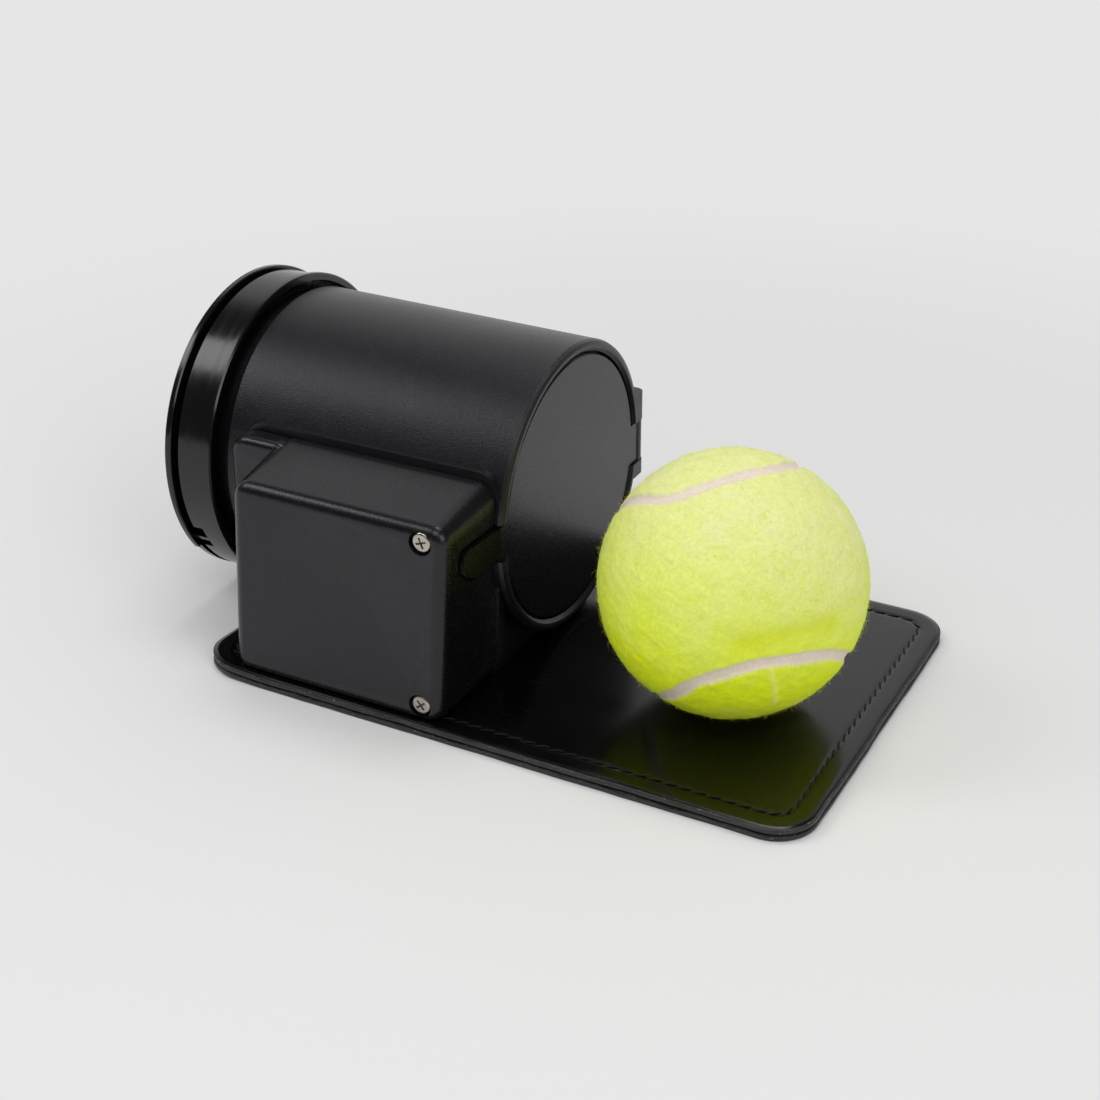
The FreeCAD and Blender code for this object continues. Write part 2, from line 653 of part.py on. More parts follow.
def lead(points, radius, corner):
    """Flat path with rounded corners, as one tube."""
    pts = [V(*p) for p in points]
    edges = []
    last = pts[0]
    for i in range(1, len(pts) - 1):
        a = pts[i - 1] - pts[i]
        a.normalize()
        b = pts[i + 1] - pts[i]
        b.normalize()
        start = pts[i] + a * corner
        end = pts[i] + b * corner
        edges.append(Part.LineSegment(last, start).toShape())
        edges.append(Part.Arc(start, arc_mid(start, a * -1.0, end), end).toShape())
        last = end
    edges.append(Part.LineSegment(last, pts[-1]).toShape())
    path = Part.Wire(edges)
    way = pts[1] - pts[0]
    pipe = Part.BRepOffsetAPI.MakePipeShell(path)
    pipe.add(Part.Wire(Part.makeCircle(radius, pts[0], way)))
    pipe.build()
    pipe.makeSolid()
    return pipe.shape()


def battery_lead():
    """Two-core lead from the cell's folded top to the board."""
    return lead([(-34.0, -45.45, 9.0), (-34.0, -50.0, 9.0), (-34.0, -50.0, 2.0), (-34.0, -54.5, 2.0)], 0.6, 1.2)


def solenoid_lead():
    """Two-core lead from the coil to the board."""
    return lead([(-17.65, -49.0, -20.0), (-24.0, -49.0, -20.0), (-24.0, -54.5, -20.0)], 0.6, 1.2)


# Mat

def mat_outline(inset, z):
    """Rounded rectangle of the mat at a height."""
    x = MAT_L / 2.0 - inset
    y = MAT_W / 2.0 - inset
    r = MAT_R - inset
    k = r * (1 - math.sqrt(0.5))
    corners = [
        ((x - r, -y), (x - k, -y + k), (x, -y + r)),
        ((x, y - r), (x - k, y - k), (x - r, y)),
        ((-x + r, y), (-x + k, y - k), (-x, y - r)),
        ((-x, -y + r), (-x + k, -y + k), (-x + r, -y)),
    ]
    edges = []
    for i in range(4):
        a, m, b = corners[i]
        edges.append(Part.Arc(V(a[0], a[1], z), V(m[0], m[1], z), V(b[0], b[1], z)).toShape())
        c = corners[(i + 1) % 4][0]
        edges.append(Part.LineSegment(V(b[0], b[1], z), V(c[0], c[1], z)).toShape())
    return Part.Wire(edges)


def stiffener_block(z0, z1, grow):
    """Plate between the plies, under the tube's foot."""
    x0, x1 = MOUTH_X - 78.0 - grow, MOUTH_X - 4.0 + grow
    y0, y1 = MOUTH_Y - 21.0 - grow, MOUTH_Y + 21.0 + grow
    return block(x0, x1, y0, y1, z0, z1)


def mat_screw_spots():
    """Middles of the foot screws in the mat's frame."""
    return [(MOUTH_X + x, MOUTH_Y + y) for x, y in foot_screw_places()]


def top_ply():
    """Upper leather, with a shallow pocket below for the plate and four screw holes."""
    ply = Part.Face(mat_outline(0.0, PLY_T + 0.02)).extrude(V(0, 0, MAT_T - PLY_T - 0.02))
    ply = ply.makeFillet(0.35, [e for e in ply.Edges if e.BoundBox.ZMin > MAT_T - 0.01])
    ply = ply.cut(stiffener_block(0.0, PLY_T + 0.42, 0.2))
    for x, y in mat_screw_spots():
        ply = ply.cut(rod(1.6, (x, y, 0), (x, y, MAT_T + 1)))
    return ply


def bottom_ply():
    """Lower leather, with a pocket above for the plate and four wells for the screw heads."""
    ply = Part.Face(mat_outline(0.0, 0.0)).extrude(V(0, 0, PLY_T))
    ply = ply.makeFillet(0.35, [e for e in ply.Edges if e.BoundBox.ZMax < 0.01])
    ply = ply.cut(stiffener_block(PLY_T - 0.42, MAT_T, 0.2))
    for x, y in mat_screw_spots():
        ply = ply.cut(rod(2.9, (x, y, 0.25), (x, y, MAT_T)))
    return ply


def base_plate():
    """Thin steel plate that spreads the load of the four screws."""
    plate = stiffener_block(PLY_T - 0.38, PLY_T + 0.38, 0.0)
    plate = plate.makeFillet(4.0, [e for e in plate.Edges if e.BoundBox.ZLength > 0.5])
    for x, y in mat_screw_spots():
        plate = plate.cut(rod(1.5, (x, y, 0), (x, y, MAT_T)))
    return plate


def mat_screws():
    """Four screws from below the plate into the tube's foot."""
    solids = []
    for x, y in mat_screw_spots():
        s = screw(1.25, 2.6, 1.0, 6.4, False)
        s.rotate(V(0, 0, 0), V(1, 0, 0), 180)
        s.translate(V(x, y, 0.4))
        solids.append(s)
    return Part.makeCompound(solids)


# Ball

def ball_core():
    """Hollow rubber core."""
    place = V(BALL_X, BALL_Y, -AXIS_H + BALL_R + 0.1)
    return Part.makeSphere(30.4, place).cut(Part.makeSphere(27.0, place))


def ball_felt():
    """Felt cover over the core."""
    place = V(BALL_X, BALL_Y, -AXIS_H + BALL_R + 0.1)
    return Part.makeSphere(BALL_R, place).cut(Part.makeSphere(30.45, place))


save("tube_body", put(tube_body()))
save("rear_cap", put(rear_cap()))
save("lid", put(lid()))
save("hinge_pin", put(hinge_pin()))
save("pusher", put(pusher()))
save("launch_spring", put(launch_spring()))
save("box_cover", put(cover()))
save("long_cover_screws", put(long_screws()))
save("short_cover_screws", put(short_screws()))
save("battery", put(battery()))
save("circuit_board", put(circuit_board()))
save("board_chips", put(board_chips()))
save("radio_module", put(radio_module()))
save("power_switch", put(power_switch()))
save("power_button", put(power_button()))
save("status_light", put(status_light()))
save("charge_socket", put(charge_socket()))
save("socket_plug", put(socket_plug()))
save("solenoid", put(solenoid()))
save("latch_bolt", put(latch_bolt()))
save("battery_lead", put(battery_lead()))
save("solenoid_lead", put(solenoid_lead()))
save("top_ply", top_ply())
save("bottom_ply", bottom_ply())
save("base_plate", base_plate())
save("mat_screws", mat_screws())
save("ball_core", put(ball_core()))
save("ball_felt", put(ball_felt()))
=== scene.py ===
import bpy
import bmesh
import math
import random
import numpy as np
from mathutils import Euler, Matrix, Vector


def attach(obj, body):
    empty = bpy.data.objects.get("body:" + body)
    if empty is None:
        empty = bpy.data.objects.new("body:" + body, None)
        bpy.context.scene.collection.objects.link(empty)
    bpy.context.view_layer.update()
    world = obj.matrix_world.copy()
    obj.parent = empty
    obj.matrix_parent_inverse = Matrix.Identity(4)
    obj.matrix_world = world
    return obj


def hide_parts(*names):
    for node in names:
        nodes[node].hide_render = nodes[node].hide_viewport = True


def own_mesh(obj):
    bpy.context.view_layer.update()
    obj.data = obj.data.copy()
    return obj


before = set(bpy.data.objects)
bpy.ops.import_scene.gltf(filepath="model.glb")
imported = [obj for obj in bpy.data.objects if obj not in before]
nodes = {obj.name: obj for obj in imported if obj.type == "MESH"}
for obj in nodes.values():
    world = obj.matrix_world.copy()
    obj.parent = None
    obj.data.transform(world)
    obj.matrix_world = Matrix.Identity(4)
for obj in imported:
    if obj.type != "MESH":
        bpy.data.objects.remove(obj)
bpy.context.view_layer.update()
random.seed(7)

# Studio: a pale floor that runs into a pale backdrop, soft boxes above and beside, and the camera of the
# photograph. Gloss sees the pale backdrop behind the object, and a darker room overhead and on the near side.

world = bpy.data.worlds.new("studio")
bpy.context.scene.world = world
world.use_nodes = True
sky = world.node_tree
sky.nodes.clear()


def seen_rays(tree):
    """1 for rays from the camera, a gloss or a clear piece, and 0 for plain light; and the rays' node."""
    path = tree.nodes.new("ShaderNodeLightPath")
    result = path.outputs["Is Camera Ray"]
    for kind in ("Is Glossy Ray", "Is Transmission Ray"):
        either = tree.nodes.new("ShaderNodeMath")
        either.operation = "MAXIMUM"
        tree.links.new(result, either.inputs[0])
        tree.links.new(path.outputs[kind], either.inputs[1])
        result = either.outputs[0]
    return result, path


def ramp(tree, source, low, high, to_low, to_high):
    """Map one range of a value smoothly to another, held at both ends."""
    node = tree.nodes.new("ShaderNodeMapRange")
    node.interpolation_type = "SMOOTHSTEP"
    node.inputs["From Min"].default_value = low
    node.inputs["From Max"].default_value = high
    node.inputs["To Min"].default_value = to_low
    node.inputs["To Max"].default_value = to_high
    tree.links.new(source, node.inputs["Value"])
    return node.outputs["Result"]


BACKDROP = (0.791, 0.791, 0.791, 1)
WAY_BACK = (-0.47, 0.88, 0.0)
ROOM_SHADE = 0.12
ROOM_LIGHT = (0.985, 0.99, 1.0, 1)
ROOM_LIGHT_LEVEL = 0.57
seen, sky_path = seen_rays(sky)
sky_way = sky.nodes.new("ShaderNodeTexCoord")
to_back = sky.nodes.new("ShaderNodeVectorMath")
to_back.operation = "DOT_PRODUCT"
to_back.inputs[1].default_value = WAY_BACK
sky.links.new(sky_way.outputs["Generated"], to_back.inputs[0])
behind = ramp(sky, to_back.outputs["Value"], 0.46, 0.74, ROOM_SHADE, 1.0)
direct = sky.nodes.new("ShaderNodeMath")
direct.operation = "MAXIMUM"
sky.links.new(behind, direct.inputs[0])
sky.links.new(sky_path.outputs["Is Camera Ray"], direct.inputs[1])
sky_shown = sky.nodes.new("ShaderNodeBackground")
sky_shown.inputs["Color"].default_value = BACKDROP
sky.links.new(direct.outputs[0], sky_shown.inputs["Strength"])
sky_light = sky.nodes.new("ShaderNodeBackground")
sky_light.inputs["Color"].default_value = ROOM_LIGHT
sky_light.inputs["Strength"].default_value = ROOM_LIGHT_LEVEL
sky_mix = sky.nodes.new("ShaderNodeMixShader")
sky.links.new(seen, sky_mix.inputs[0])
sky.links.new(sky_light.outputs[0], sky_mix.inputs[1])
sky.links.new(sky_shown.outputs[0], sky_mix.inputs[2])
sky_out = sky.nodes.new("ShaderNodeOutputWorld")
sky.links.new(sky_mix.outputs[0], sky_out.inputs["Surface"])

FLOOR_HALF = 6
FLOOR_COLOUR = (0.715, 0.714, 0.71, 1)
FLOOR_PLAIN_FROM = 0.14
FLOOR_PLAIN_TO = 0.42
floor_corners = [(-FLOOR_HALF, -FLOOR_HALF, 0), (FLOOR_HALF, -FLOOR_HALF, 0),
                 (FLOOR_HALF, FLOOR_HALF, 0), (-FLOOR_HALF, FLOOR_HALF, 0)]
floor_mesh = bpy.data.meshes.new("floor")
floor_mesh.from_pydata(floor_corners, [], [(0, 1, 2, 3)])
floor = bpy.data.objects.new("floor", floor_mesh)
bpy.context.scene.collection.objects.link(floor)
floor_paint = bpy.data.materials.new("floor_paint")
floor_paint.use_nodes = True
ground = floor_paint.node_tree
paper = ground.nodes["Principled BSDF"]
paper.inputs["Base Color"].default_value = FLOOR_COLOUR
paper.inputs["Roughness"].default_value = 0.9
paper.inputs["Specular IOR Level"].default_value = 0.0
ground_way = ground.nodes.new("ShaderNodeTexCoord")
reach = ground.nodes.new("ShaderNodeVectorMath")
reach.operation = "LENGTH"
ground.links.new(ground_way.outputs["Object"], reach.inputs[0])
far = ramp(ground, reach.outputs["Value"], FLOOR_PLAIN_FROM, FLOOR_PLAIN_TO, 0.0, 1.0)
even = ground.nodes.new("ShaderNodeMath")
even.operation = "MULTIPLY"
ground.links.new(far, even.inputs[0])
ground.links.new(seen_rays(ground)[0], even.inputs[1])
glow = ground.nodes.new("ShaderNodeEmission")
glow.inputs["Color"].default_value = BACKDROP
ground_mix = ground.nodes.new("ShaderNodeMixShader")
ground.links.new(even.outputs[0], ground_mix.inputs[0])
ground.links.new(paper.outputs[0], ground_mix.inputs[1])
ground.links.new(glow.outputs[0], ground_mix.inputs[2])
ground.links.new(ground_mix.outputs[0], ground.nodes["Material Output"].inputs["Surface"])
floor_mesh.materials.append(floor_paint)


OBJECT_MIDDLE = (0.0, 0.0, 0.04)


def soft_lamp(name, place, width, height, power):
    """Rectangular soft box at a place, turned towards the object's middle."""
    data = bpy.data.lights.new(name, "AREA")
    data.shape = "RECTANGLE"
    data.size = width
    data.size_y = height
    data.energy = power
    lamp = bpy.data.objects.new(name, data)
    bpy.context.scene.collection.objects.link(lamp)
    lamp.location = place
    way = Vector(OBJECT_MIDDLE) - Vector(place)
    lamp.rotation_euler = way.to_track_quat("-Z", "Y").to_euler()


soft_lamp("top_box", (-0.04, 0.25, 1.05), width=0.48, height=0.32, power=2.05)
soft_lamp("right_box", (0.80, -0.50, 0.62), width=0.5, height=0.6, power=2.5)
soft_lamp("front_box", (0.04, -0.55, 0.94), width=0.6, height=0.4, power=2.35)
soft_lamp("left_strip", (-0.64, -0.31, 0.72), width=0.28, height=0.46, power=1.65)

CAMERA_PLACE = (0.19477, -0.37707, 0.25858)
CAMERA_TURN = (61.7209, 0.5172, 28.0768)
camera_data = bpy.data.cameras.new("camera")
camera_data.lens = 60.58
camera_data.sensor_width = 36.0
camera = bpy.data.objects.new("camera", camera_data)
bpy.context.scene.collection.objects.link(camera)
camera.location = CAMERA_PLACE
camera.rotation_euler = tuple(math.radians(a) for a in CAMERA_TURN)
bpy.context.scene.camera = camera
bpy.context.scene.view_settings.view_transform = "Standard"


# Tube: black ABS, injection moulded in one piece with its platform, foot and hinge lugs. The skin has a
# spark-eroded satin grain that glints, and the rim and corners are polished where hands and the lid rub.

def paint(name, base, rough, metallic=0.0):
    """New material with its tree and its surface node."""
    mat = bpy.data.materials.new(name)
    mat.use_nodes = True
    tree = mat.node_tree
    surface = tree.nodes["Principled BSDF"]
    surface.inputs["Base Color"].default_value = (*base, 1)
    surface.inputs["Roughness"].default_value = rough
    surface.inputs["Metallic"].default_value = metallic
    return mat, tree, surface


def where(tree):
    """Object coordinates, in metres, shared by one material's patterns."""
    for node in tree.nodes:
        if node.type == "TEX_COORD":
            return node.outputs["Object"]
    return tree.nodes.new("ShaderNodeTexCoord").outputs["Object"]


def noise(tree, scale, detail=3.0, stretch=None, turn=(0, 0, 0), rough=0.5):
    """Noise in object space; stretch scales it along the axes for streaks and brushing."""
    tex = tree.nodes.new("ShaderNodeTexNoise")
    tex.inputs["Scale"].default_value = scale
    tex.inputs["Detail"].default_value = detail
    tex.inputs["Roughness"].default_value = rough
    source = where(tree)
    if stretch:
        mapping = tree.nodes.new("ShaderNodeMapping")
        mapping.inputs["Rotation"].default_value = turn
        mapping.inputs["Scale"].default_value = stretch
        tree.links.new(source, mapping.inputs["Vector"])
        source = mapping.outputs["Vector"]
    tree.links.new(source, tex.inputs["Vector"])
    return tex.outputs["Fac"]


def cells(tree, scale, feature="F1"):
    """Distance pattern of small cells in object space."""
    tex = tree.nodes.new("ShaderNodeTexVoronoi")
    tex.feature = feature
    tex.inputs["Scale"].default_value = scale
    tree.links.new(where(tree), tex.inputs["Vector"])
    return tex.outputs["Distance"]


def both(tree, a, b, how="ADD"):
    """Two values through one maths node; b may be a number."""
    node = tree.nodes.new("ShaderNodeMath")
    node.operation = how
    tree.links.new(a, node.inputs[0])
    if isinstance(b, (int, float)):
        node.inputs[1].default_value = b
    else:
        tree.links.new(b, node.inputs[1])
    return node.outputs[0]


def tinted(tree, amount, first, second):
    """Mix of two colours by a value; each may be a plain colour or a socket."""
    node = tree.nodes.new("ShaderNodeMix")
    node.data_type = "RGBA"
    for socket, value in ((node.inputs[6], first), (node.inputs[7], second)):
        if isinstance(value, tuple):
            socket.default_value = (*value, 1)
        else:
            tree.links.new(value, socket)
    tree.links.new(amount, node.inputs[0])
    return node.outputs[2]


def bumps(tree, surface, height, depth, strength=1.0):
    """Bump from a height, in metres; a second call is added on top of the first."""
    node = tree.nodes.new("ShaderNodeBump")
    node.inputs["Distance"].default_value = depth
    node.inputs["Strength"].default_value = strength
    tree.links.new(height, node.inputs["Height"])
    before = surface.inputs["Normal"].links
    if before:
        tree.links.new(before[0].from_socket, node.inputs["Normal"])
    tree.links.new(node.outputs["Normal"], surface.inputs["Normal"])


def rubbed(tree):
    """Patchy value on convex edges, for rubbed corners."""
    node = tree.nodes.new("ShaderNodeNewGeometry")
    edge = ramp(tree, node.outputs["Pointiness"], 0.52, 0.58, 0.0, 1.0)
    return both(tree, edge, noise(tree, 300.0, 2.0), "MULTIPLY")


COOL_GLOSS = (0.94, 0.93, 1.0, 1)
GLINT = 0.05


def moulded(name, base, worn, rough, grain, depth, swing=0.02, polish=0.08):
    """Moulded plastic: fine grain that glints, a slight change of gloss, and rubbed edges."""
    mat, tree, surface = paint(name, base, rough)
    surface.inputs["Specular Tint"].default_value = COOL_GLOSS
    skin = noise(tree, grain, 2.0, rough=0.6)
    slow = ramp(tree, noise(tree, 30.0, 5.0), 0.3, 0.7, -swing, swing)
    glint = ramp(tree, skin, 0.3, 0.7, rough - GLINT, rough + GLINT)
    gloss = both(tree, slow, glint)
    if polish:
        rub = rubbed(tree)
        tree.links.new(tinted(tree, rub, base, worn), surface.inputs["Base Color"])
        gloss = both(tree, gloss, ramp(tree, rub, 0.0, 1.0, 0.0, -polish))
    else:
        tree.links.new(tinted(tree, skin, base, worn), surface.inputs["Base Color"])
    tree.links.new(gloss, surface.inputs["Roughness"])
    bumps(tree, surface, skin, depth, 0.9)
    return mat


def dress(node_name, mat):
    """Give a carried-over piece its material."""
    mesh = nodes[node_name].data
    if not mesh.materials:
        mesh.materials.append(mat)
    for i in range(len(mesh.materials)):
        mesh.materials[i] = mat


BLACK = (0.0022, 0.0022, 0.003)
BLACK_WORN = (0.012, 0.012, 0.0125)
dress("tube_body", moulded("tube_skin", BLACK, BLACK_WORN, rough=0.33, grain=3000.0, depth=0.00010))


# Rear cap: the same black from a polished tool, so its band mirrors the room in soft upright stripes. It is
# turned onto the tube's neck by hand, which leaves hairline scuffs round the band.

CAP_BLACK = (0.0022, 0.0022, 0.0026)


def cap_skin():
    """Polished black with slow waves, a trace of grain and scuffs along the turning direction."""
    mat, tree, surface = paint("cap_skin", CAP_BLACK, 0.18)
    scuff = noise(tree, 60.0, 3.0, stretch=(8.0, 1.0, 1.0))
    tree.links.new(ramp(tree, scuff, 0.4, 0.7, 0.15, 0.23), surface.inputs["Roughness"])
    bumps(tree, surface, noise(tree, 120.0, 2.0), 0.00003, 0.3)
    bumps(tree, surface, noise(tree, 1500.0, 2.0), 0.00002, 0.4)
    return mat


dress("rear_cap", cap_skin())


# Lid: black ABS with a finer grain than the tube, evenly pale where it mirrors the floor. It is one moulding
# with its hinge tab and its latch tongue, and turns on the hinge pin.

lid_skin = moulded("lid_skin", BLACK, BLACK, rough=0.24, grain=2600.0, depth=0.00003, swing=0.01, polish=0)
dress("lid", lid_skin)


# Box cover: satin black ABS with a fine even grain and rounded edges that catch a soft line of light.
# It is a separate moulding, screwed to the tube's platform by two long and two short screws.

cover_skin = moulded("cover_skin", BLACK, BLACK_WORN, rough=0.28, grain=3000.0, depth=0.00003, swing=0.01)
dress("box_cover", cover_skin)


# Metal parts: nickel-plated screws, drawn hinge pin, zinc-plated spring wire, bent sheet and turned steel.
# Each has its own grain: fine turning rings, brushing along the wire, or dull spangle.

def metal(name, base, rough, stretch, depth=0.00001):
    """Bare or plated metal with a directional grain, dull patches and a darker colour in its hollows."""
    mat, tree, surface = paint(name, base, rough, 1.0)
    line = noise(tree, 900.0, 3.0, stretch=stretch)
    patch = noise(tree, 220.0, 3.0)
    uneven = both(tree, line, patch, "MULTIPLY")
    tree.links.new(ramp(tree, uneven, 0.12, 0.4, rough * 0.7, rough * 1.7), surface.inputs["Roughness"])
    dull = tuple(c * 0.72 for c in base)
    # The hollows, found by the mesh's pointiness, are drawn at 12 percent of the colour.
    hollow_dark_colour = tuple(c * 0.12 for c in base)
    hollow = tree.nodes.new("ShaderNodeNewGeometry")
    darker_in_hollows = ramp(tree, hollow.outputs["Pointiness"], 0.40, 0.485, 1.0, 0.0)
    clean = tinted(tree, ramp(tree, patch, 0.4, 0.75, 0.0, 1.0), base, dull)
    tree.links.new(tinted(tree, darker_in_hollows, clean, hollow_dark_colour), surface.inputs["Base Color"])
    bumps(tree, surface, line, depth, 0.5)
    return mat


nickel = metal("nickel_plate", (0.56, 0.52, 0.455), 0.24, (1.0, 4.0, 1.0))
for name in ("long_cover_screws", "short_cover_screws", "mat_screws"):
    dress(name, nickel)
dress("hinge_pin", metal("pin_steel", (0.6, 0.6, 0.61), 0.28, (4.0, 4.0, 0.3)))
dress("base_plate", metal("zinc_sheet", (0.58, 0.59, 0.6), 0.34, (0.5, 3.0, 1.0)))
dress("radio_module", metal("tinned_can", (0.68, 0.68, 0.66), 0.3, (1.0, 1.0, 4.0)))
dress("charge_socket", metal("socket_shell", (0.66, 0.66, 0.67), 0.24, (3.0, 1.0, 1.0)))
dress("solenoid", metal("solenoid_frame", (0.52, 0.5, 0.44), 0.36, (1.0, 1.0, 3.0)))
dress("latch_bolt", metal("bolt_steel", (0.58, 0.58, 0.59), 0.25, (3.0, 3.0, 0.5)))


# Pusher: natural acetal, slightly waxy and off-white, with light scuffs where the ball seats. It is a turned
# cup with slots in its skirt, and slides in the tube on the launch spring.

ACETAL = (0.70, 0.69, 0.64)
ACETAL_WORN = (0.60, 0.59, 0.54)


def acetal():
    """Waxy off-white plastic, scuffed in one direction."""
    mat, tree, surface = paint("acetal", ACETAL, 0.38)
    surface.inputs["Subsurface Weight"].default_value = 0.15
    surface.inputs["Subsurface Radius"].default_value = (0.002, 0.0018, 0.0014)
    scuff = noise(tree, 140.0, 4.0, stretch=(1.0, 1.0, 5.0), turn=(0.5, 0, 0))
    worn = ramp(tree, scuff, 0.52, 0.7, 0.0, 0.6)
    tree.links.new(tinted(tree, worn, ACETAL, ACETAL_WORN), surface.inputs["Base Color"])
    bumps(tree, surface, noise(tree, 700.0, 2.0), 0.00003, 0.4)
    return mat


dress("pusher", acetal())


# Launch spring: conical coil of zinc-plated wire, seated on the cap's end wall and in the pusher. It has the
# shape of its CAD node, as its own copy attached to the launcher.

dress("launch_spring", metal("spring_wire", (0.62, 0.62, 0.6), 0.26, (6.0, 0.6, 0.6)))
coil = bpy.data.objects.new("coil_spring", nodes["launch_spring"].data.copy())
bpy.context.scene.collection.objects.link(coil)
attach(coil, "launcher")
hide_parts("launch_spring")
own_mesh(coil)


# Electronics, all inside the box: pouch cell in foil, green board, epoxy chips, switch and silicone leads.
# Chips and switch are soldered to the board. What holds the board and the cell in the box isn't modelled.

def pouch():
    """Aluminium-laminate pouch, softly wrinkled along its length."""
    mat, tree, surface = paint("pouch_foil", (0.55, 0.57, 0.6), 0.3, 0.7)
    wrinkle = noise(tree, 90.0, 4.0, stretch=(0.6, 1.0, 2.0))
    bumps(tree, surface, wrinkle, 0.0004, 0.5)
    tree.links.new(ramp(tree, wrinkle, 0.3, 0.7, 0.22, 0.42), surface.inputs["Roughness"])
    return mat


BOARD_GREEN = (0.01, 0.12, 0.05)
TRACK_GREEN = (0.03, 0.22, 0.08)


def laminate():
    """Green solder mask over copper tracks, with the glass weave just showing."""
    mat, tree, surface = paint("board_mask", BOARD_GREEN, 0.3)
    warp = noise(tree, 500.0, 1.0, stretch=(1.0, 1.0, 0.1))
    weft = noise(tree, 500.0, 1.0, stretch=(0.1, 1.0, 1.0))
    track = ramp(tree, cells(tree, 260.0, "DISTANCE_TO_EDGE"), 0.02, 0.06, 1.0, 0.0)
    tree.links.new(tinted(tree, track, BOARD_GREEN, TRACK_GREEN), surface.inputs["Base Color"])
    bumps(tree, surface, both(tree, warp, weft), 0.00002, 0.4)
    return mat


dress("battery", pouch())
dress("circuit_board", laminate())
dress("board_chips", moulded("chip_epoxy", (0.014, 0.014, 0.015), (0.03, 0.03, 0.03), 0.55, 2600.0, 0.00003))
dress("power_switch", moulded("switch_nylon", (0.02, 0.02, 0.02), (0.05, 0.05, 0.05), 0.45, 1800.0, 0.00003))
dress("battery_lead", moulded("lead_red", (0.25, 0.012, 0.01), (0.3, 0.05, 0.04), 0.5, 1500.0, 0.00003))
dress("solenoid_lead", moulded("lead_blue", (0.012, 0.03, 0.18), (0.05, 0.08, 0.25), 0.5, 1500.0, 0.00003))


# Controls on the box's left wall: satin grey button, soft rubber plug and a clear light guide.
# The button slides in a hole of the wall, kept in by its flange; the plug's lug is pushed into its slot.

dress("power_button", moulded("button_skin", (0.10, 0.105, 0.115), (0.16, 0.16, 0.17), 0.4, 1700.0, 0.00004))
dress("socket_plug", moulded("plug_rubber", (0.010, 0.010, 0.010), (0.03, 0.03, 0.03), 0.62, 1300.0, 0.00007))


def guide():
    """Clear acrylic light guide with a faint skin."""
    mat, tree, surface = paint("light_guide", (0.82, 0.86, 0.86), 0.18)
    surface.inputs["Transmission Weight"].default_value = 0.85
    surface.inputs["IOR"].default_value = 1.49
    bumps(tree, surface, noise(tree, 1500.0, 2.0), 0.00002, 0.3)
    return mat


dress("status_light", guide())


# Mat: two plies of coated black leather, glued round a steel plate, with four screws up into the tube's foot.
# The face is glossy with fine scratches; the rubbed edges are duller, with a dark glue line between them.

MAT_X = 0.085
MAT_Y = 0.0555
MAT_CORNER = 0.011


def outline(inset, count_side=34, count_corner=10):
    """Points of the mat's rounded outline at an inset, the same number for any inset."""
    x = MAT_X - inset
    y = MAT_Y - inset
    r = max(MAT_CORNER - inset, 0.0015)
    centres = [(x - r, -y + r, -90), (x - r, y - r, 0), (-x + r, y - r, 90), (-x + r, -y + r, 180)]
    pts = []
    for i, (cx, cy, a0) in enumerate(centres):
        for k in range(count_corner):
            a = math.radians(a0 + 90.0 * k / count_corner)
            pts.append((cx + r * math.cos(a), cy + r * math.sin(a)))
        a = math.radians(a0 + 90)
        start = Vector((cx + r * math.cos(a), cy + r * math.sin(a)))
        nx, ny, na = centres[(i + 1) % 4]
        a = math.radians(na)
        end = Vector((nx + r * math.cos(a), ny + r * math.sin(a)))
        for k in range(count_side):
            pts.append(tuple(start.lerp(end, k / count_side)))
    return pts


def eased(t):
    """Smooth step from 0 to 1."""
    t = min(max(t, 0.0), 1.0)
    return t * t * (3 - 2 * t)


CURL_NEAR = 0.0011
CURL_FAR = 0.0006


def lift(x, y):
    """How far the mat's left-hand corners curl off the floor."""
    near = eased((-0.062 - x) / 0.024) * eased((-0.026 - y) / 0.03)
    far = eased((-0.066 - x) / 0.02) * eased((y - 0.036) / 0.02)
    return CURL_NEAR * near + CURL_FAR * far


def ripple(x, y, phase):
    """Slow waves of the cut edge, in metres."""
    slow = 0.00016 * math.sin(x * 95 + phase)
    cross = 0.00013 * math.sin(y * 140 + 2 * phase)
    quick = 0.00008 * math.sin((x - y) * 310 + phase)
    return slow + cross + quick


FACE_INSETS = [0.046, 0.034, 0.022, 0.013, 0.0076, 0.0069, 0.0064, 0.0060, 0.0056, 0.0051, 0.0044,
               0.0025, 0.0013, 0.0008, 0.0005, 0.0002, 0.00005]
SEAM_INSET = 0.0060
GROOVE_HALF = 0.0006
FACE_ROUND = 0.0013
FACE_DROP = 0.00045
UNDER_ROUND = 0.0008
UNDER_DROP = 0.00022


